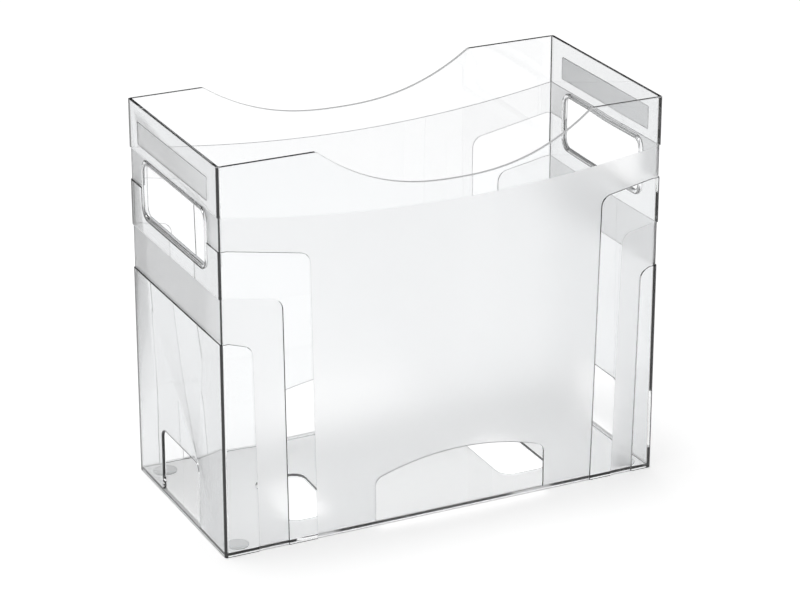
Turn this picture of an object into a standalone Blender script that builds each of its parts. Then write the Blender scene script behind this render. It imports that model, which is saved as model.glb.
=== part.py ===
"""Open-top desk box for hanging files, moulded in clear plastic with satin panels.

The tub is shaped as one moulding and then parted into its four walls and its floor, so that
each is a simple panel. Label windows, grip rims and feet are pieces of their own.
Metres, +Z up, origin under the middle of the base, long walls facing -Y and +Y.
"""

import math

import bmesh
import bpy
from mathutils import Matrix, Vector

# Driving dimensions
WIDTH = 0.390
DEPTH = 0.186
HEIGHT = 0.330
RELIEF = 0.0010
WALL = 0.0020
SKIN = RELIEF + WALL
CORNER_RADIUS = 0.0025
GAP = 0.0003

# Floor, just clear of the surface under it
FLOOR_BOTTOM = 0.0012
FLOOR_TOP = 0.0036
WINDOW_SIZE = (0.046, 0.084)
WINDOW_RADIUS = 0.012
WINDOW_CENTRES = ((-0.104, -0.018), (0.094, -0.018))

# Dip in the long walls' upper edge
DIP_CENTRE = 0.009
DIP_HALF = 0.121
DIP_DEPTHS = {"front": 0.0400, "back": 0.0345}
DIP_POWER = 2.4
DIP_SHOULDER = 0.008

# Upper band, whose lower edge sags along the long walls
BAND_HEIGHT = 0.041
BAND_SAG = 0.0165

# Nested zones that wrap the two ends: depth below the rim at the corner, then the widths at
# the top and at the bottom along the long wall's left part and along its right part
ZONES = {
    "inner": {"top": 0.146, "slope": 0.0065, "left": (0.027, 0.030), "right": (0.016, 0.0195)},
    "middle": {"top": 0.108, "slope": 0.0085, "left": (0.053, 0.056), "right": (0.034, 0.0395)},
    "outer": {"top": 0.069, "slope": 0.0130, "left": (0.077, 0.081), "right": (0.054, 0.0595)},
}
ZONE_RADIUS = 0.010

# Arches low in the walls, down to a sill just above the floor
LONG_ARCH_CENTRE = 0.0150
LONG_ARCH_HALF = 0.0770
LONG_ARCH_SIDE = 0.0415
LONG_ARCH_RISE = 0.0135
END_ARCH_HALF = 0.0400
END_ARCH_HEIGHT = 0.0600
ARCH_RADIUS = 0.008
SILL = 0.0040

# Hand holes in the end walls
GRIP_HALF = 0.0640
GRIP_TOP = 0.0460
GRIP_BOTTOM = 0.0905
GRIP_RADIUS = 0.0075
GRIP_RIM = 0.0034
GRIP_LIP = 0.0018

# Label fields in the end walls' upper band
LABEL_HALF = 0.0720
LABEL_TOP = 0.0140
LABEL_BOTTOM = 0.0330
LABEL_RECESS = 0.0011
LABEL_THICKNESS = 0.0007

FOOT_RADIUS = 0.0090
FOOT_INSET = 0.0170

# How far the cutters run past the faces they cut, and how far they clear a face they leave
REACH = 0.020
CLEARANCE = 0.002

ARC_STEPS = 5
CURVE_STEPS = 20
FOOT_SIDES = 24
WELD = 0.00001

CLEAR = ((0.93, 0.95, 0.96, 1.0), 0.05, 1.0)
LABEL = ((0.90, 0.92, 0.93, 1.0), 0.15, 0.9)
PAD = ((0.86, 0.88, 0.89, 1.0), 0.45, 0.6)


def clear_scene():
    for old in list(bpy.data.objects):
        bpy.data.objects.remove(old, do_unlink=True)


def new_collection(name):
    made = bpy.data.collections.new(name)
    bpy.context.scene.collection.children.link(made)
    return made


def plastic(name, look):
    colour, roughness, transmission = look
    made = bpy.data.materials.new(name)
    made.use_nodes = True
    shader = made.node_tree.nodes["Principled BSDF"]
    shader.inputs["Base Color"].default_value = colour
    shader.inputs["Roughness"].default_value = roughness
    shader.inputs["Metallic"].default_value = 0.0
    shader.inputs["IOR"].default_value = 1.59
    shader.inputs["Transmission Weight"].default_value = transmission
    return made


def filleted(corners):
    """Points of an outline whose corners, given as (x, y, radius), are rounded."""
    points = []
    count = len(corners)
    for i in range(count):
        here = Vector(corners[i][:2])
        radius = corners[i][2]
        if radius == 0:
            points.append(tuple(here))
            continue
        back = (Vector(corners[i - 1][:2]) - here).normalized()
        ahead = (Vector(corners[(i + 1) % count][:2]) - here).normalized()
        half = back.angle(ahead) / 2
        centre = here + (back + ahead).normalized() * (radius / math.sin(half))
        start = here + back * (radius / math.tan(half)) - centre
        end = here + ahead * (radius / math.tan(half)) - centre
        turn = start.angle_signed(end)
        for step in range(ARC_STEPS + 1):
            arm = Matrix.Rotation(-turn * step / ARC_STEPS, 2) @ start
            points.append(tuple(centre + arm))
    return points


def box_outline(low, high, radius):
    return filleted(
        [
            (low[0], low[1], radius),
            (high[0], low[1], radius),
            (high[0], high[1], radius),
            (low[0], high[1], radius),
        ]
    )


def extruded(name, outlines, thickness, matrix, collection):
    """A closed mesh from flat outlines: the first is the edge and the others are holes."""
    curve = bpy.data.curves.new(name, "CURVE")
    curve.dimensions = "2D"
    curve.fill_mode = "BOTH"
    curve.extrude = thickness / 2
    for outline in outlines:
        spline = curve.splines.new("POLY")
        spline.points.add(len(outline) - 1)
        for point, (x, y) in zip(spline.points, outline):
            point.co = (x, y, 0, 1)
        spline.use_cyclic_u = True
    source = bpy.data.objects.new(name + "_curve", curve)
    collection.objects.link(source)
    source.matrix_world = matrix
    bpy.context.view_layer.update()
    graph = bpy.context.evaluated_depsgraph_get()
    mesh = bpy.data.meshes.new_from_object(source.evaluated_get(graph))
    mesh.name = name
    made = bpy.data.objects.new(name, mesh)
    collection.objects.link(made)
    made.matrix_world = source.matrix_world
    bpy.data.objects.remove(source)
    bpy.data.curves.remove(curve)
    work = bmesh.new()
    work.from_mesh(mesh)
    bmesh.ops.remove_doubles(work, verts=work.verts, dist=WELD)
    bmesh.ops.recalc_face_normals(work, faces=work.faces)
    work.to_mesh(mesh)
    work.free()
    return made


def upright(y):
    """Places an outline drawn as (x, z) in a plane across Y, facing -Y."""
    return Matrix.Translation((0, y, 0)) @ Matrix.Rotation(math.pi / 2, 4, "X")


def sideways(x):
    """Places an outline drawn as (y, z) in a plane across X, facing +X."""
    turn = Matrix.Rotation(math.pi / 2, 4, "Z") @ Matrix.Rotation(math.pi / 2, 4, "X")
    return Matrix.Translation((x, 0, 0)) @ turn


def level(z):
    return Matrix.Translation((0, 0, z))


def as_cutter(made):
    made.hide_render = True
    made.display_type = "WIRE"
    return made


def combine(target, tool, operation):
    """Applies a Boolean to a mesh object at once."""
    step = target.modifiers.new("combine", "BOOLEAN")
    step.operation = operation
    step.solver = "EXACT"
    step.object = tool
    bpy.context.view_layer.update()
    graph = bpy.context.evaluated_depsgraph_get()
    result = bpy.data.meshes.new_from_object(target.evaluated_get(graph))
    target.modifiers.remove(step)
    target.data = result


def dip_outline(depth):
    """The space above the dipped part of a long wall's edge, as (x, z) points."""
    above = HEIGHT + REACH
    left = DIP_CENTRE - DIP_HALF
    right = DIP_CENTRE + DIP_HALF
    corners = [(left - REACH, above, 0), (left - REACH, HEIGHT + CLEARANCE, 0)]
    corners.append((left, HEIGHT, DIP_SHOULDER))
    for step in range(1, CURVE_STEPS):
        along = 2 * step / CURVE_STEPS - 1
        drop = depth * (1 - abs(along) ** DIP_POWER)
        corners.append((DIP_CENTRE + DIP_HALF * along, HEIGHT - drop, 0))
    corners.append((right, HEIGHT, DIP_SHOULDER))
    corners += [(right + REACH, HEIGHT + CLEARANCE, 0), (right + REACH, above, 0)]
    return filleted(corners)


def band_outline():
    """Everything above the sagging line under the band, as (x, z) points."""
    half = WIDTH / 2
    above = HEIGHT + REACH
    beside = HEIGHT - BAND_HEIGHT + CLEARANCE
    points = [(-half - REACH, above), (-half - REACH, beside)]
    for step in range(CURVE_STEPS + 1):
        along = 2 * step / CURVE_STEPS - 1
        sag = BAND_SAG * (1 - along**2)
        points.append((half * along, HEIGHT - BAND_HEIGHT - sag))
    points += [(half + REACH, beside), (half + REACH, above)]
    return points


def zone_corners(zone, side):
    """Corners of a zone's inner edge on the front wall, from the wall's end to its foot."""
    half = WIDTH / 2
    sign = -1 if side == "left" else 1
    top_width, foot_width = ZONES[zone][side]
    top = HEIGHT - ZONES[zone]["top"]
    fall = ZONES[zone]["slope"] * top_width / ZONES[zone]["left"][0]
    return [
        (sign * (half + REACH), top, 0),
        (sign * half, top, 0),
        (sign * (half - top_width), top - fall, ZONE_RADIUS),
        (sign * (half - foot_width), -REACH, 0),
    ]


def zone_outline(zone, side):
    sign = -1 if side == "left" else 1
    far = (sign * (WIDTH / 2 + REACH), -REACH, 0)
    return filleted(zone_corners(zone, side) + [far])


def ring_zone_outline(outer, inner, side):
    """The strip between two nested zones, open at the wall's end and at its foot."""
    return filleted(zone_corners(outer, side) + zone_corners(inner, side)[::-1])


def long_arch_outline():
    low = LONG_ARCH_CENTRE - LONG_ARCH_HALF
    corners = [(low, SILL, 0), (low, LONG_ARCH_SIDE, ARCH_RADIUS)]
    steps = CURVE_STEPS // 2
    for step in range(1, steps):
        along = 2 * step / steps - 1
        rise = LONG_ARCH_RISE * (1 - along**2)
        corners.append((LONG_ARCH_CENTRE + LONG_ARCH_HALF * along, LONG_ARCH_SIDE + rise, 0))
    high = LONG_ARCH_CENTRE + LONG_ARCH_HALF
    corners += [(high, LONG_ARCH_SIDE, ARCH_RADIUS), (high, SILL, 0)]
    return filleted(corners)


def end_arch_outline():
    return filleted(
        [
            (-END_ARCH_HALF, SILL, 0),
            (-END_ARCH_HALF, END_ARCH_HEIGHT, ARCH_RADIUS),
            (END_ARCH_HALF, END_ARCH_HEIGHT, ARCH_RADIUS),
            (END_ARCH_HALF, SILL, 0),
        ]
    )


def grip_outline(grow):
    return box_outline(
        (-GRIP_HALF - grow, HEIGHT - GRIP_BOTTOM - grow),
        (GRIP_HALF + grow, HEIGHT - GRIP_TOP + grow),
        GRIP_RADIUS + grow,
    )


def label_outline(grow):
    low = (-LABEL_HALF - grow, HEIGHT - LABEL_BOTTOM - grow)
    high = (LABEL_HALF + grow, HEIGHT - LABEL_TOP + grow)
    return box_outline(low, high, 0.0012)


def rounded_block(name, inset, collection):
    """The tub's outer block, set in from its full size."""
    outline = box_outline(
        (-WIDTH / 2 + inset, -DEPTH / 2 + inset),
        (WIDTH / 2 - inset, DEPTH / 2 - inset),
        CORNER_RADIUS - inset,
    )
    return extruded(name, [outline], HEIGHT, level(HEIGHT / 2), collection)


def proud_regions(collection):
    """The volumes in which the walls stand proud: the band, and two strips round each end."""
    regions = []
    whole = 2 * (DEPTH + REACH)
    regions.append(extruded("band_region", [band_outline()], whole, upright(0), collection))
    half_turn = Matrix.Rotation(math.pi, 4, "Z")
    for side in ("left", "right"):
        outlines = {
            "inner_region": zone_outline("inner", side),
            "outer_region": ring_zone_outline("outer", "middle", side),
        }
        for kind, outline in outlines.items():
            for turn, face in ((Matrix.Identity(4), "front"), (half_turn, "back")):
                place = turn @ upright(-DEPTH / 2)
                name = "_".join((face, side, kind))
                regions.append(extruded(name, [outline], DEPTH + REACH, place, collection))
    return regions


def tub_cuts(collection):
    """Everything that is taken out of the tub."""
    cuts = []
    inner = (WIDTH / 2 - SKIN, DEPTH / 2 - SKIN)
    bottom = box_outline((-inner[0], -inner[1]), inner, 0)
    room = HEIGHT + REACH - FLOOR_TOP
    cuts.append(extruded("room", [bottom], room, level(FLOOR_TOP + room / 2), collection))
    under = FLOOR_BOTTOM + REACH
    cuts.append(extruded("under", [bottom], under, level(FLOOR_BOTTOM - under / 2), collection))
    half_turn = Matrix.Rotation(math.pi, 4, "Z")
    for turn, face in ((Matrix.Identity(4), "front"), (half_turn, "back")):
        wall = turn @ upright(-DEPTH / 2)
        dip = dip_outline(DIP_DEPTHS[face])
        cuts.append(extruded(face + "_dip", [dip], REACH, wall, collection))
        cuts.append(extruded(face + "_arch", [long_arch_outline()], REACH / 2, wall, collection))
    for sign, face in ((-1, "left"), (1, "right")):
        wall = sideways(sign * WIDTH / 2)
        cuts.append(extruded(face + "_end_arch", [end_arch_outline()], REACH / 2, wall, collection))
        hole = grip_outline(GRIP_RIM + GAP)
        cuts.append(extruded(face + "_grip_hole", [hole], REACH, wall, collection))
        field = label_outline(GAP)
        cuts.append(extruded(face + "_field", [field], 2 * LABEL_RECESS, wall, collection))
    for number, (x, y) in enumerate(WINDOW_CENTRES):
        low = (x - WINDOW_SIZE[0] / 2, y - WINDOW_SIZE[1] / 2)
        high = (x + WINDOW_SIZE[0] / 2, y + WINDOW_SIZE[1] / 2)
        outline = box_outline(low, high, WINDOW_RADIUS)
        name = "floor_window_" + str(number)
        cuts.append(extruded(name, [outline], REACH, level(FLOOR_TOP), collection))
    return cuts


def make_tub(collection):
    """The whole moulding, from which the walls and the floor are parted."""
    proud = rounded_block("proud_block", 0.0, collection)
    regions = proud_regions(collection)
    zones = regions[0]
    for region in regions[1:]:
        combine(zones, region, "UNION")
    combine(proud, zones, "INTERSECT")
    tub = rounded_block("tub", RELIEF, collection)
    combine(tub, proud, "UNION")
    for cut in tub_cuts(collection):
        combine(tub, cut, "DIFFERENCE")
    return tub


def block_outline(x, y):
    """A plain rectangle from ranges in x and y."""
    return [(x[0], y[0]), (x[1], y[0]), (x[1], y[1]), (x[0], y[1])]


def panel_space(name, x, y, z, collection):
    height = z[1] - z[0]
    outline = block_outline(x, y)
    return extruded(name, [outline], height, level((z[0] + z[1]) / 2), collection)


def part_panels(tub, parts, cutters, look):
    """Parts the tub into panels. The long walls run the full width and take the corners."""
    far_x = WIDTH / 2 + REACH
    far_y = DEPTH / 2 + REACH
    wall_x = WIDTH / 2 - SKIN
    wall_y = DEPTH / 2 - SKIN
    tall = (-REACH, HEIGHT + REACH)
    slab = (FLOOR_BOTTOM - GAP, FLOOR_TOP + GAP)
    inside_x = (-wall_x + GAP, wall_x - GAP)
    inside_y = (-wall_y + GAP, wall_y - GAP)
    spaces = {
        "front_wall": ((-far_x, far_x), (-far_y, -wall_y), tall),
        "back_wall": ((-far_x, far_x), (wall_y, far_y), tall),
        "left_end_wall": ((-far_x, -wall_x), inside_y, tall),
        "right_end_wall": ((wall_x, far_x), inside_y, tall),
        "floor_panel": (inside_x, inside_y, slab),
    }
    for name, (x, y, z) in spaces.items():
        panel = bpy.data.objects.new(name, tub.data.copy())
        parts.objects.link(panel)
        panel.matrix_world = tub.matrix_world
        space = as_cutter(panel_space(name + "_space", x, y, z, cutters))
        combine(panel, space, "INTERSECT")
        panel.data.name = name
        panel.data.materials.clear()
        panel.data.materials.append(look)


def add_grip_rims(parts, look):
    thickness = SKIN + GRIP_LIP
    for sign, side in ((-1, "left"), (1, "right")):
        place = sideways(sign * (WIDTH / 2 - thickness / 2))
        outlines = [grip_outline(GRIP_RIM), grip_outline(0.0)]
        rim = extruded(side + "_grip_rim", outlines, thickness, place, parts)
        rim.data.materials.append(look)


def add_label_windows(parts, look):
    for sign, side in ((-1, "left"), (1, "right")):
        face = WIDTH / 2 - LABEL_RECESS + GAP + LABEL_THICKNESS / 2
        outline = label_outline(0.0)
        name = side + "_label_window"
        window = extruded(name, [outline], LABEL_THICKNESS, sideways(sign * face), parts)
        window.data.materials.append(look)


def add_feet(parts, look):
    height = FLOOR_BOTTOM - GAP
    for y_sign, row in ((-1, "front"), (1, "back")):
        for x_sign, side in ((-1, "left"), (1, "right")):
            bpy.ops.mesh.primitive_cylinder_add(
                vertices=FOOT_SIDES,
                radius=FOOT_RADIUS,
                depth=height,
                location=(
                    x_sign * (WIDTH / 2 - FOOT_INSET),
                    y_sign * (DEPTH / 2 - FOOT_INSET),
                    height / 2,
                ),
            )
            foot = bpy.context.object
            foot.name = "_".join((row, side, "foot"))
            foot.data.name = foot.name
            foot.data.shade_smooth()
            foot.data.set_sharp_from_angle(angle=math.radians(40))
            foot.data.materials.append(look)
            for holder in list(foot.users_collection):
                holder.objects.unlink(foot)
            parts.objects.link(foot)


def main():
    clear_scene()
    parts = new_collection("hanging_file_box")
    cutters = new_collection("cutters")
    clear_look = plastic("clear_plastic", CLEAR)
    label_look = plastic("label_plastic", LABEL)
    pad_look = plastic("foot_plastic", PAD)
    tub = make_tub(cutters)
    for tool in cutters.objects:
        as_cutter(tool)
    part_panels(tub, parts, cutters, clear_look)
    add_grip_rims(parts, clear_look)
    add_label_windows(parts, label_look)
    add_feet(parts, pad_look)


main()
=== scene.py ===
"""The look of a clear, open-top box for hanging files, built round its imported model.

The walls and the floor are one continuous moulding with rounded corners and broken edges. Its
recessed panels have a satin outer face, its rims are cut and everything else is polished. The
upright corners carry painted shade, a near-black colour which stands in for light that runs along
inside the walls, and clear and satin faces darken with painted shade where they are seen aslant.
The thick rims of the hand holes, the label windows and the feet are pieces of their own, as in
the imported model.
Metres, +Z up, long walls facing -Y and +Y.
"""

import math

import bmesh
import bpy
from mathutils import Matrix, Vector


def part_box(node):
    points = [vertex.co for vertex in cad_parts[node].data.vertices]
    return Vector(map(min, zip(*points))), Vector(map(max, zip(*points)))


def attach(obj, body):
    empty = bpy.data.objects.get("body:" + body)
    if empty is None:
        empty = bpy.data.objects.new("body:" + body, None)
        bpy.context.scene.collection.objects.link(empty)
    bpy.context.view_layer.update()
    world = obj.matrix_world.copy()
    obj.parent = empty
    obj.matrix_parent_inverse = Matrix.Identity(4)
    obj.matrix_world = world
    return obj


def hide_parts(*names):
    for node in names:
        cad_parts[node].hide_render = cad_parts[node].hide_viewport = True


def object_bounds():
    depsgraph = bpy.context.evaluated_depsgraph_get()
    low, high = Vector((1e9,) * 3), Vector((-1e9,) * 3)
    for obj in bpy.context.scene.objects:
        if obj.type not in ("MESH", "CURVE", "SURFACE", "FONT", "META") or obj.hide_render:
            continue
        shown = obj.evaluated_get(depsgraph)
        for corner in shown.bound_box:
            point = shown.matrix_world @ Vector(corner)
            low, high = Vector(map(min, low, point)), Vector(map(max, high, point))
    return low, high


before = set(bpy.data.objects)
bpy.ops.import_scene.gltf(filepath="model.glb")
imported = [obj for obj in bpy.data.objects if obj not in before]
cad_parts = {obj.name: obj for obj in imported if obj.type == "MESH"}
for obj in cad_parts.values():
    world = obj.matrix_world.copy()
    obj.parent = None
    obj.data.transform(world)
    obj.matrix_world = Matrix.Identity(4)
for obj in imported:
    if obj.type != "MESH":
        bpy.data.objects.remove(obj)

cad_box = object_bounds()

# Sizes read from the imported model
CAD_LOW, CAD_HIGH = cad_box
WIDTH = CAD_HIGH[0] - CAD_LOW[0]
DEPTH = CAD_HIGH[1] - CAD_LOW[1]
HEIGHT = CAD_HIGH[2]
FLOOR_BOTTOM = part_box("floor_panel")[0][2]
FLOOR_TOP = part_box("floor_panel")[1][2]

# The walls' make-up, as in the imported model
RELIEF = 0.0010
SKIN = 0.0030
OUTER_RADIUS = 0.0025
INNER_RADIUS = 0.0012
GAP = 0.0003
EDGE_BREAK = 0.00035
EDGE_STEPS = 2

WINDOW_SIZE = (0.046, 0.084)
WINDOW_RADIUS = 0.012
WINDOW_CENTRES = ((-0.104, -0.018), (0.094, -0.018))

DIP_CENTRE = 0.009
DIP_HALF = 0.121
DIP_DEPTHS = {"front": 0.0400, "back": 0.0345}
DIP_POWER = 2.4
DIP_SHOULDER = 0.008

BAND_HEIGHT = 0.041
BAND_SAG = 0.0165

# Nested zones round the two ends: depth below the rim at the corner, then the widths at the
# top and at the bottom along the long wall's left part and along its right part
ZONES = {
    "inner": {"top": 0.146, "slope": 0.0065, "left": (0.027, 0.030), "right": (0.016, 0.0195)},
    "middle": {"top": 0.108, "slope": 0.0085, "left": (0.053, 0.056), "right": (0.034, 0.0395)},
    "outer": {"top": 0.069, "slope": 0.0130, "left": (0.077, 0.081), "right": (0.054, 0.0595)},
}
ZONE_RADIUS = 0.010

LONG_ARCH_CENTRE = 0.0150
LONG_ARCH_HALF = 0.0770
LONG_ARCH_SIDE = 0.0415
LONG_ARCH_RISE = 0.0135
END_ARCH_HALF = 0.0400
END_ARCH_HEIGHT = 0.0600
ARCH_RADIUS = 0.008
SILL = 0.0040

GRIP_RIM = 0.0034
GRIP_RADIUS = 0.0075
GRIP_BEAD = 0.0013

LABEL_RECESS = 0.0011
LABEL_RADIUS = 0.0012
LABEL_EDGE = 0.00012

# The rounded lower edge of a foot, as a share of its height
FOOT_FILLET = 0.42
FOOT_ARC_STEPS = 6
FOOT_STEPS = 48

# How far cutters run past what they cut, and how far the zones' level parts run round a corner
REACH = 0.020
END_OVERRUN = 1.2 * REACH
FOOT_OVERRUN = 1.3 * REACH
CLEARANCE = 0.002
CORNER_REACH = 0.007
STRIP_REACH = 0.006
ARC_STEPS = 8
CURVE_STEPS = 44
WELD = 0.00001
SHARP_ANGLE = math.radians(19)
BREAK_ANGLE = math.radians(35)

# The moulding's finishes and painted shade: polished, satin panels, cut rims and sills, the upright
# corners in painted shade, and floor
CLEAR, SATIN, EDGE, CORNER_SHADE, LEVEL = range(5)

# What tells them apart: how far below the top the rims reach, then parts of a face's normal
RIM_ZONE = 0.045
RIM_TILT = 0.3
SILL_TILT = 0.9
ACROSS_LIMIT = 0.95
UPRIGHT_LIMIT = 0.3
CORNER_TURN = 0.15

POLYSTYRENE_IOR = 1.59

scratch = bpy.data.collections.new("scratch")
bpy.context.scene.collection.children.link(scratch)
pieces = bpy.data.collections.new("pieces")
bpy.context.scene.collection.children.link(pieces)


def filleted(corners):
    """Points of an outline whose corners, given as (x, y, radius), are rounded."""
    points = []
    count = len(corners)
    for i in range(count):
        here = Vector(corners[i][:2])
        radius = corners[i][2]
        if radius == 0:
            points.append(tuple(here))
            continue
        back = (Vector(corners[i - 1][:2]) - here).normalized()
        ahead = (Vector(corners[(i + 1) % count][:2]) - here).normalized()
        half = back.angle(ahead) / 2
        centre = here + (back + ahead).normalized() * (radius / math.sin(half))
        start = here + back * (radius / math.tan(half)) - centre
        end = here + ahead * (radius / math.tan(half)) - centre
        turn = start.angle_signed(end)
        for step in range(ARC_STEPS + 1):
            arm = Matrix.Rotation(-turn * step / ARC_STEPS, 2) @ start
            points.append(tuple(centre + arm))
    return points


def box_outline(low, high, radius):
    return filleted(
        [
            (low[0], low[1], radius),
            (high[0], low[1], radius),
            (high[0], high[1], radius),
            (low[0], high[1], radius),
        ]
    )


def extruded(name, outline, thickness, matrix):
    """A closed mesh from one flat outline."""
    curve = bpy.data.curves.new(name, "CURVE")
    curve.dimensions = "2D"
    curve.fill_mode = "BOTH"
    curve.extrude = thickness / 2
    spline = curve.splines.new("POLY")
    spline.points.add(len(outline) - 1)
    for point, (x, y) in zip(spline.points, outline):
        point.co = (x, y, 0, 1)
    spline.use_cyclic_u = True
    source = bpy.data.objects.new(name + "_curve", curve)
    scratch.objects.link(source)
    graph = bpy.context.evaluated_depsgraph_get()
    mesh = bpy.data.meshes.new_from_object(source.evaluated_get(graph))
    bpy.data.objects.remove(source)
    bpy.data.curves.remove(curve)
    work = bmesh.new()
    work.from_mesh(mesh)
    bmesh.ops.remove_doubles(work, verts=work.verts, dist=WELD)
    bmesh.ops.recalc_face_normals(work, faces=work.faces)
    for sign in (-1, 1):
        cap = [face for face in work.faces if face.normal.z * sign > 0.9]
        bmesh.ops.dissolve_faces(work, faces=cap)
    work.to_mesh(mesh)
    work.free()
    mesh.transform(matrix)
    made = bpy.data.objects.new(name, mesh)
    scratch.objects.link(made)
    return made


def upright(y):
    """Places an outline drawn as (x, z) in a plane across Y, facing -Y."""
    return Matrix(((1, 0, 0, 0), (0, 0, -1, y), (0, 1, 0, 0), (0, 0, 0, 1)))


def sideways(x):
    """Places an outline drawn as (y, z) in a plane across X, facing +X."""
    return Matrix(((0, 0, 1, x), (1, 0, 0, 0), (0, 1, 0, 0), (0, 0, 0, 1)))


def level(z):
    return Matrix.Translation((0, 0, z))


def apply_modifiers(target):
    graph = bpy.context.evaluated_depsgraph_get()
    result = bpy.data.meshes.new_from_object(target.evaluated_get(graph))
    target.modifiers.clear()
    target.data = result


def combine(target, tool, operation):
    """Applies a Boolean and removes the tool."""
    step = target.modifiers.new("combine", "BOOLEAN")
    step.operation = operation
    step.solver = "EXACT"
    step.object = tool
    bpy.context.view_layer.update()
    apply_modifiers(target)
    bpy.data.objects.remove(tool)


def dip_outline(depth):
    """The space above the dipped part of a long wall's edge, as (x, z) points."""
    above = HEIGHT + REACH
    left = DIP_CENTRE - DIP_HALF
    right = DIP_CENTRE + DIP_HALF
    corners = [(left - REACH, above, 0), (left - REACH, HEIGHT + CLEARANCE, 0)]
    corners.append((left, HEIGHT, DIP_SHOULDER))
    for step in range(2, CURVE_STEPS - 1):
        along = 2 * step / CURVE_STEPS - 1
        drop = depth * (1 - abs(along) ** DIP_POWER)
        corners.append((DIP_CENTRE + DIP_HALF * along, HEIGHT - drop, 0))
    corners.append((right, HEIGHT, DIP_SHOULDER))
    corners += [(right + REACH, HEIGHT + CLEARANCE, 0), (right + REACH, above, 0)]
    return filleted(corners)


def band_outline():
    """Everything above the sagging line under the band, as (x, z) points."""
    half = WIDTH / 2
    above = HEIGHT + REACH
    beside = HEIGHT - BAND_HEIGHT + CLEARANCE
    points = [(-half - REACH, above), (-half - REACH, beside)]
    for step in range(CURVE_STEPS + 1):
        along = 2 * step / CURVE_STEPS - 1
        sag = BAND_SAG * (1 - along**2)
        points.append((half * along, HEIGHT - BAND_HEIGHT - sag))
    points += [(half + REACH, beside), (half + REACH, above)]
    return points


def zone_corners(zone, side):
    """Corners of a zone's inner edge on the front wall, from the wall's end to its foot."""
    half = WIDTH / 2
    sign = -1 if side == "left" else 1
    top_width, foot_width = ZONES[zone][side]
    top = HEIGHT - ZONES[zone]["top"]
    fall = ZONES[zone]["slope"] * top_width / ZONES[zone]["left"][0]
    return [
        (sign * (half + REACH), top, 0),
        (sign * (half - CORNER_REACH), top, 0),
        (sign * (half - top_width), top - fall, ZONE_RADIUS),
        (sign * (half - foot_width), -REACH, 0),
    ]


def zone_outline(zone, side):
    sign = -1 if side == "left" else 1
    far = (sign * (WIDTH / 2 + REACH), -REACH, 0)
    return filleted(zone_corners(zone, side) + [far])


def ring_zone_outline(outer, inner, side):
    """The strip between two nested zones, open at the wall's end and at its foot."""
    return filleted(zone_corners(outer, side) + zone_corners(inner, side)[::-1])


def long_arch_outline():
    low = LONG_ARCH_CENTRE - LONG_ARCH_HALF
    corners = [(low, SILL, 0), (low, LONG_ARCH_SIDE, ARCH_RADIUS)]
    steps = CURVE_STEPS // 2
    for step in range(2, steps - 1):
        along = 2 * step / steps - 1
        rise = LONG_ARCH_RISE * (1 - along**2)
        corners.append((LONG_ARCH_CENTRE + LONG_ARCH_HALF * along, LONG_ARCH_SIDE + rise, 0))
    high = LONG_ARCH_CENTRE + LONG_ARCH_HALF
    corners += [(high, LONG_ARCH_SIDE, ARCH_RADIUS), (high, SILL, 0)]
    return filleted(corners)


def end_arch_outline():
    return filleted(
        [
            (-END_ARCH_HALF, SILL, 0),
            (-END_ARCH_HALF, END_ARCH_HEIGHT, ARCH_RADIUS),
            (END_ARCH_HALF, END_ARCH_HEIGHT, ARCH_RADIUS),
            (END_ARCH_HALF, SILL, 0),
        ]
    )


def node_outline(node, radius, grow):
    """The (y, z) outline of an upright node on an end wall, grown by a margin."""
    low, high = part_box(node)
    return box_outline(
        (low[1] - grow, low[2] - grow), (high[1] + grow, high[2] + grow), radius + grow
    )


def rounded_block(name, inset):
    """The tub's outer block, set in from its full size."""
    outline = box_outline(
        (-WIDTH / 2 + inset, -DEPTH / 2 + inset),
        (WIDTH / 2 - inset, DEPTH / 2 - inset),
        OUTER_RADIUS - inset,
    )
    return extruded(name, outline, HEIGHT, level(HEIGHT / 2))


HALF_TURN = Matrix.Diagonal((-1, -1, 1, 1))
FACES = (("front", Matrix.Identity(4)), ("back", HALF_TURN))


def end_strip(sign, low, high):
    """A level strip across an end wall, which joins the zones of the two long walls."""
    x = sorted((sign * (WIDTH / 2 - STRIP_REACH), sign * (WIDTH / 2 + END_OVERRUN)))
    half = DEPTH / 2 - STRIP_REACH
    outline = [(x[0], -half), (x[1], -half), (x[1], half), (x[0], half)]
    return extruded("strip", outline, high - low, level((low + high) / 2))


def proud_block():
    """The part of the full-size block where the walls stand proud."""
    zones = extruded("zones", band_outline(), 2 * (DEPTH + REACH), upright(0))
    for side in ("left", "right"):
        for outline in (zone_outline("inner", side), ring_zone_outline("outer", "middle", side)):
            for face, turn in FACES:
                place = turn @ upright(-DEPTH / 2)
                combine(zones, extruded(face, outline, 2 * REACH, place), "UNION")
    tops = {name: HEIGHT - zone["top"] for name, zone in ZONES.items()}
    for sign in (-1, 1):
        combine(zones, end_strip(sign, -FOOT_OVERRUN, tops["inner"]), "UNION")
        combine(zones, end_strip(sign, tops["middle"], tops["outer"]), "UNION")
    block = rounded_block("proud_block", 0.0)
    combine(block, zones, "INTERSECT")
    return block


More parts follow.
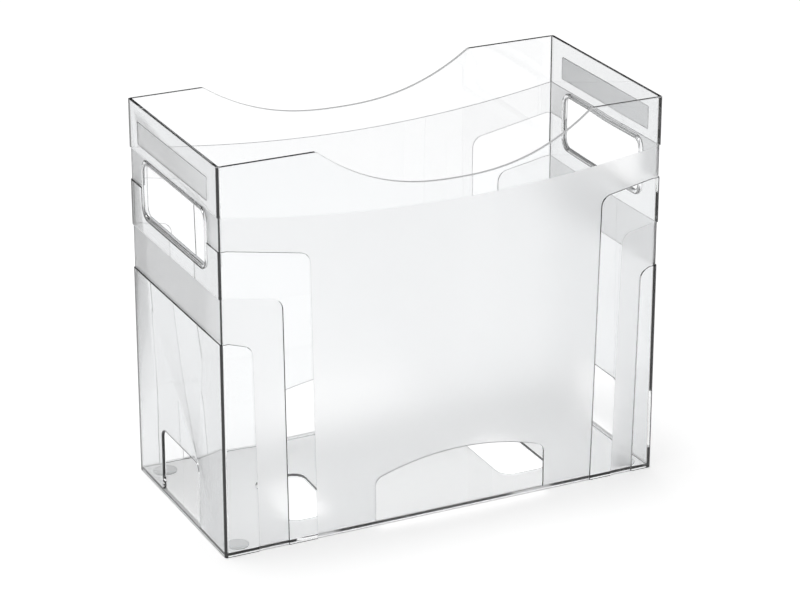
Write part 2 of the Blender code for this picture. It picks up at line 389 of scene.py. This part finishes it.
def tub_cuts():
    """Everything that is taken out of the tub."""
    half = (WIDTH / 2 - SKIN, DEPTH / 2 - SKIN)
    inside = box_outline((-half[0], -half[1]), half, INNER_RADIUS)
    room = HEIGHT + REACH - FLOOR_TOP
    under = FLOOR_BOTTOM + REACH
    cuts = [
        extruded("room", inside, room, level(FLOOR_TOP + room / 2)),
        extruded("under", inside, under, level(FLOOR_BOTTOM - under / 2)),
    ]
    for face, turn in FACES:
        wall = turn @ upright(-DEPTH / 2)
        cuts.append(extruded(face + "_dip", dip_outline(DIP_DEPTHS[face]), REACH, wall))
        cuts.append(extruded(face + "_arch", long_arch_outline(), REACH / 2, wall))
    for sign, face in ((-1, "left"), (1, "right")):
        wall = sideways(sign * WIDTH / 2)
        cuts.append(extruded(face + "_end_arch", end_arch_outline(), REACH / 2, wall))
        hole = node_outline(face + "_grip_rim", GRIP_RADIUS + GRIP_RIM, GAP)
        cuts.append(extruded(face + "_hole", hole, REACH, wall))
        field = node_outline(face + "_label_window", LABEL_RADIUS, GAP)
        cuts.append(extruded(face + "_field", field, 2 * LABEL_RECESS, wall))
    for x, y in WINDOW_CENTRES:
        low = (x - WINDOW_SIZE[0] / 2, y - WINDOW_SIZE[1] / 2)
        high = (x + WINDOW_SIZE[0] / 2, y + WINDOW_SIZE[1] / 2)
        window = box_outline(low, high, WINDOW_RADIUS)
        cuts.append(extruded("window", window, REACH, level(FLOOR_TOP)))
    return cuts


def break_edges(made, width):
    bevel = made.modifiers.new("edges", "BEVEL")
    bevel.width = width
    bevel.segments = EDGE_STEPS
    bevel.limit_method = "ANGLE"
    bevel.angle_limit = BREAK_ANGLE
    bevel.use_clamp_overlap = True
    apply_modifiers(made)
    made.data.shade_smooth()
    made.data.set_sharp_from_angle(angle=SHARP_ANGLE)


def outer_depth(point):
    """How far inside the tub's full-size outline a point lies, seen from above."""
    x = abs(point.x) - (WIDTH / 2 - OUTER_RADIUS)
    y = abs(point.y) - (DEPTH / 2 - OUTER_RADIUS)
    outside = math.hypot(max(x, 0), max(y, 0))
    return OUTER_RADIUS - outside - min(max(x, y), 0)


def finish_of(face):
    """The place of a face's look in the list: polished, satin, rim and sill, painted shade on the
    upright corners, floor.
    """
    depth = outer_depth(face.center)
    if face.center.z < FLOOR_TOP + EDGE_BREAK and depth > SKIN:
        return LEVEL
    slanting = max(abs(face.normal.x), abs(face.normal.y)) < ACROSS_LIMIT
    rim = face.center.z > HEIGHT - RIM_ZONE and face.normal.z > RIM_TILT
    sill = face.center.z < SILL + RELIEF and face.normal.z > SILL_TILT
    if depth < SKIN and slanting and (rim or sill):
        return EDGE
    if abs(face.normal.z) > UPRIGHT_LIMIT or depth > 1.2 * RELIEF:
        return CLEAR
    # Faces of the upright corners get painted shade, a near-black colour standing in for light that
    # runs inside the walls
    if min(abs(face.normal.x), abs(face.normal.y)) > CORNER_TURN:
        return CORNER_SHADE
    return SATIN if depth > 0.8 * RELIEF else CLEAR


def finish_tub(tub, finishes):
    """Gives each face of the tub its finish, or painted shade on the upright corners."""
    tub.data.materials.clear()
    for finish in finishes:
        tub.data.materials.append(finish)
    for face in tub.data.polygons:
        face.material_index = finish_of(face)


def make_tub(finishes):
    tub = rounded_block("tub_shell", RELIEF)
    combine(tub, proud_block(), "UNION")
    for cut in tub_cuts():
        combine(tub, cut, "DIFFERENCE")
    break_edges(tub, EDGE_BREAK)
    finish_tub(tub, finishes)
    return tub


def swept_ring(name, section, outline, matrix):
    """A closed ring: each section point is (grow from the opening, height along the axis)."""
    work = bmesh.new()
    rings = []
    for grow, height in section:
        points = [matrix @ Vector((y, z, height)) for y, z in outline(grow)]
        rings.append([work.verts.new(point) for point in points])
    for i in range(len(rings)):
        here = rings[i]
        there = rings[(i + 1) % len(rings)]
        for j in range(len(here)):
            k = (j + 1) % len(here)
            work.faces.new((here[j], here[k], there[k], there[j]))
    bmesh.ops.recalc_face_normals(work, faces=work.faces)
    mesh = bpy.data.meshes.new(name)
    work.to_mesh(mesh)
    work.free()
    made = bpy.data.objects.new(name, mesh)
    scratch.objects.link(made)
    made.data.shade_smooth()
    made.data.set_sharp_from_angle(angle=BREAK_ANGLE)
    return made


def make_grip_rim(side):
    """The bead round a hand hole: a thick rim with rounded edges."""
    low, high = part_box(side + "_grip_rim")
    inner_low = (low[1] + GRIP_RIM, low[2] + GRIP_RIM)
    inner_high = (high[1] - GRIP_RIM, high[2] - GRIP_RIM)

    def outline(grow):
        return box_outline(
            (inner_low[0] - grow, inner_low[1] - grow),
            (inner_high[0] + grow, inner_high[1] + grow),
            GRIP_RADIUS + grow,
        )

    deep = high[0] - low[0]
    section = box_outline((0.0, 0.0), (GRIP_RIM, deep), GRIP_BEAD)
    return swept_ring(side + "_grip_bead", section, outline, sideways(low[0]))


def make_label_window(side):
    low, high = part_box(side + "_label_window")
    outline = box_outline((low[1], low[2]), (high[1], high[2]), LABEL_RADIUS)
    middle = (low[0] + high[0]) / 2
    made = extruded(side + "_label_plate", outline, high[0] - low[0], sideways(middle))
    break_edges(made, LABEL_EDGE)
    return made


def make_foot(name):
    """A turned pad with a rounded lower edge."""
    low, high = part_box(name)
    centre = ((low[0] + high[0]) / 2, (low[1] + high[1]) / 2)
    radius = (high[0] - low[0]) / 2
    height = high[2] - low[2]
    fillet = height * FOOT_FILLET
    profile = [(0.0, height), (radius, height), (radius, fillet)]
    for step in range(FOOT_ARC_STEPS + 1):
        turn = math.pi / 2 * step / FOOT_ARC_STEPS
        profile.append((radius - fillet + fillet * math.cos(turn), fillet - fillet * math.sin(turn)))
    profile.append((0.0, 0.0))
    mesh = bpy.data.meshes.new(name + "_pad")
    work = bmesh.new()
    chain = [work.verts.new((r, 0, z)) for r, z in profile]
    edges = [work.edges.new(pair) for pair in zip(chain, chain[1:])]
    bmesh.ops.spin(
        work,
        geom=chain + edges,
        axis=(0, 0, 1),
        cent=(0, 0, 0),
        steps=FOOT_STEPS,
        angle=2 * math.pi,
    )
    bmesh.ops.remove_doubles(work, verts=work.verts, dist=WELD)
    bmesh.ops.recalc_face_normals(work, faces=work.faces)
    work.to_mesh(mesh)
    work.free()
    made = bpy.data.objects.new(name + "_pad", mesh)
    made.data.transform(Matrix.Translation((centre[0], centre[1], low[2])))
    scratch.objects.link(made)
    made.data.shade_smooth()
    made.data.set_sharp_from_angle(angle=BREAK_ANGLE)
    return made


# How far aslant a surface is seen where painted shade starts to darken the tint, and where it is
# darkest
SLANT_RANGE = (0.30, 0.60)
DRIFT_SCALE = 9.0
GRAIN_RANGE = (0.3, 0.7)
GRAIN_DEPTH = 0.0002


def plastic(name, tints, deep, roughness, grain, bump, transmission):
    """Moulded plastic: two close tints, uneven roughness and a fine grain in the surface.

    Where the surface is seen aslant the tint darkens towards the colour deep: painted shade, much
    stronger than the real deepening of tint in clear plastic.
    """
    made = bpy.data.materials.new(name)
    made.use_nodes = True
    nodes = made.node_tree.nodes
    links = made.node_tree.links
    shader = nodes["Principled BSDF"]
    shader.inputs["Metallic"].default_value = 0.0
    shader.inputs["IOR"].default_value = POLYSTYRENE_IOR
    shader.inputs["Transmission Weight"].default_value = transmission
    place = nodes.new("ShaderNodeTexCoord")
    drift = nodes.new("ShaderNodeTexNoise")
    drift.inputs["Scale"].default_value = DRIFT_SCALE
    drift.inputs["Detail"].default_value = 3.0
    fine = nodes.new("ShaderNodeTexNoise")
    fine.inputs["Scale"].default_value = grain
    fine.inputs["Detail"].default_value = 4.0
    tint = nodes.new("ShaderNodeMix")
    tint.data_type = "RGBA"
    tint.inputs["A"].default_value = (*tints[0], 1.0)
    tint.inputs["B"].default_value = (*tints[1], 1.0)
    spread = nodes.new("ShaderNodeMapRange")
    spread.inputs["From Min"].default_value = GRAIN_RANGE[0]
    spread.inputs["From Max"].default_value = GRAIN_RANGE[1]
    spread.inputs["To Min"].default_value = roughness[0]
    spread.inputs["To Max"].default_value = roughness[1]
    relief = nodes.new("ShaderNodeBump")
    relief.inputs["Strength"].default_value = bump
    relief.inputs["Distance"].default_value = GRAIN_DEPTH
    links.new(place.outputs["Object"], drift.inputs["Vector"])
    links.new(place.outputs["Object"], fine.inputs["Vector"])
    links.new(drift.outputs["Fac"], tint.inputs["Factor"])
    # Painted shade: the colour darkens towards deep where the surface is seen aslant
    slant = nodes.new("ShaderNodeLayerWeight")
    slant.inputs["Blend"].default_value = 0.5
    reach = nodes.new("ShaderNodeMapRange")
    reach.inputs["From Min"].default_value = SLANT_RANGE[0]
    reach.inputs["From Max"].default_value = SLANT_RANGE[1]
    slant_darkening = nodes.new("ShaderNodeMix")
    slant_darkening.data_type = "RGBA"
    slant_darkening.inputs["B"].default_value = (*deep, 1.0)
    links.new(slant.outputs["Facing"], reach.inputs["Value"])
    links.new(reach.outputs["Result"], slant_darkening.inputs["Factor"])
    links.new(tint.outputs["Result"], slant_darkening.inputs["A"])
    links.new(slant_darkening.outputs["Result"], shader.inputs["Base Color"])
    links.new(fine.outputs["Fac"], spread.inputs["Value"])
    links.new(spread.outputs["Result"], shader.inputs["Roughness"])
    links.new(fine.outputs["Fac"], relief.inputs["Height"])
    links.new(relief.outputs["Normal"], shader.inputs["Normal"])
    return made


def place_piece(made, nodes):
    scratch.objects.unlink(made)
    pieces.objects.link(made)
    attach(made, "root")
    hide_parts(*nodes)


LEVEL_TINTS = ((0.985, 0.990, 0.992), (0.975, 0.982, 0.986))
CLEAR_TINTS = ((0.965, 0.970, 0.973), (0.950, 0.957, 0.962))
# Painted shade: the dark colour that clear faces and the grip beads take on where seen aslant
CLEAR_SLANT_SHADE = (0.560, 0.570, 0.580)
SATIN_TINTS = ((0.975, 0.980, 0.985), (0.962, 0.968, 0.974))
# Painted shade: the dark colour that satin faces take on where seen aslant
SATIN_SLANT_SHADE = (0.760, 0.768, 0.776)
EDGE_TINTS = ((0.960, 0.965, 0.970), (0.930, 0.938, 0.945))
# Painted shade: near-black colour on the upright corners, standing in for the dark lines left by
# light that runs along inside the walls
CORNER_SHADE_TINTS = ((0.010, 0.011, 0.012), (0.018, 0.019, 0.021))

clear = plastic("clear_plastic", CLEAR_TINTS, CLEAR_SLANT_SHADE, (0.010, 0.030), 60.0, 0.02, 1.0)
satin = plastic("satin_plastic", SATIN_TINTS, SATIN_SLANT_SHADE, (0.34, 0.44), 900.0, 0.06, 1.0)
edge = plastic("edge_plastic", EDGE_TINTS, EDGE_TINTS[1], (0.25, 0.40), 700.0, 0.05, 0.15)
# Painted shade on the upright corners, not a finish of the plastic
corner = plastic("corner_painted_shade", CORNER_SHADE_TINTS, CORNER_SHADE_TINTS[0], (0.10, 0.20), 80.0, 0.02, 0.35)
flat = plastic("level_plastic", LEVEL_TINTS, LEVEL_TINTS[1], (0.010, 0.030), 60.0, 0.02, 1.0)
bead_look = plastic("bead_plastic", CLEAR_TINTS, CLEAR_SLANT_SHADE, (0.012, 0.035), 120.0, 0.02, 1.0)
label_look = plastic("label_plastic", LEVEL_TINTS, LEVEL_TINTS[1], (0.015, 0.050), 90.0, 0.02, 1.0)
pad_look = plastic("pad_plastic", LEVEL_TINTS, LEVEL_TINTS[1], (0.06, 0.12), 300.0, 0.04, 1.0)

tub = make_tub((clear, satin, edge, corner, flat))
place_piece(
    tub,
    ("front_wall", "back_wall", "left_end_wall", "right_end_wall", "floor_panel"),
)
for side in ("left", "right"):
    bead = make_grip_rim(side)
    bead.data.materials.append(bead_look)
    place_piece(bead, (side + "_grip_rim",))
    plate = make_label_window(side)
    plate.data.materials.append(label_look)
    place_piece(plate, (side + "_label_window",))
for row in ("front", "back"):
    for side in ("left", "right"):
        node = "_".join((row, side, "foot"))
        pad = make_foot(node)
        pad.data.materials.append(pad_look)
        place_piece(pad, (node,))

# Table top: a large, pale surface with a glow of its own, which keeps it white in the shadow
TABLE_SIZE = 60.0
TABLE_DROP = 0.0002
TABLE_GREY = 0.86
TABLE_GLOW = 0.64

# Two lamps in one place, of which only the stronger casts shadows, and a dim surround
LAMP_PLACE = (-0.3, 0.5, 4.0)
LAMP_SIZE = (2.4, 1.7)
LAMP_POWER = 76.0
FILL_POWER = 10.0
SURROUND = 0.10


def make_table():
    bpy.ops.mesh.primitive_grid_add(x_subdivisions=4, y_subdivisions=4, size=TABLE_SIZE)
    table = bpy.context.object
    table.name = "table_top"
    table.location = (0, 0, CAD_LOW[2] - TABLE_DROP)
    look = bpy.data.materials.new("table_white")
    look.use_nodes = True
    nodes = look.node_tree.nodes
    shader = nodes["Principled BSDF"]
    shader.inputs["Base Color"].default_value = (TABLE_GREY, TABLE_GREY, TABLE_GREY, 1.0)
    shader.inputs["Roughness"].default_value = 0.6
    shader.inputs["Emission Color"].default_value = (1.0, 1.0, 1.0, 1.0)
    shader.inputs["Emission Strength"].default_value = TABLE_GLOW
    table.data.materials.append(look)


def add_light(name, location, size, power, shadows):
    data = bpy.data.lights.new(name, "AREA")
    data.shape = "RECTANGLE"
    data.size = size[0]
    data.size_y = size[1]
    data.energy = power
    data.use_shadow = shadows
    lamp = bpy.data.objects.new(name, data)
    lamp.location = location
    aim = Vector((0, 0, HEIGHT / 2)) - Vector(location)
    lamp.rotation_euler = aim.to_track_quat("-Z", "Y").to_euler()
    bpy.context.scene.collection.objects.link(lamp)


def make_world(grey):
    world = bpy.data.worlds.new("studio")
    world.use_nodes = True
    background = world.node_tree.nodes["Background"]
    background.inputs["Color"].default_value = (grey, grey, grey, 1.0)
    background.inputs["Strength"].default_value = 1.0
    bpy.context.scene.world = world


make_table()
make_world(SURROUND)
add_light("soft_overhead", LAMP_PLACE, LAMP_SIZE, LAMP_POWER, True)
add_light("soft_fill", LAMP_PLACE, LAMP_SIZE, FILL_POWER, False)

# Camera: from the left and above, with a long lens
CAMERA_PLACE = (-1.0127, -2.0991, 1.1082)
CAMERA_TURN = 25.846
CAMERA_PITCH = 22.275
CAMERA_LENS = 136.98

camera_data = bpy.data.cameras.new("camera")
camera_data.sensor_width = 36.0
camera_data.lens = CAMERA_LENS
camera = bpy.data.objects.new("camera", camera_data)
camera.location = CAMERA_PLACE
camera.rotation_euler = (math.radians(90 - CAMERA_PITCH), 0, math.radians(-CAMERA_TURN))
bpy.context.scene.collection.objects.link(camera)
bpy.context.scene.camera = camera

bpy.context.scene.view_settings.view_transform = "Standard"
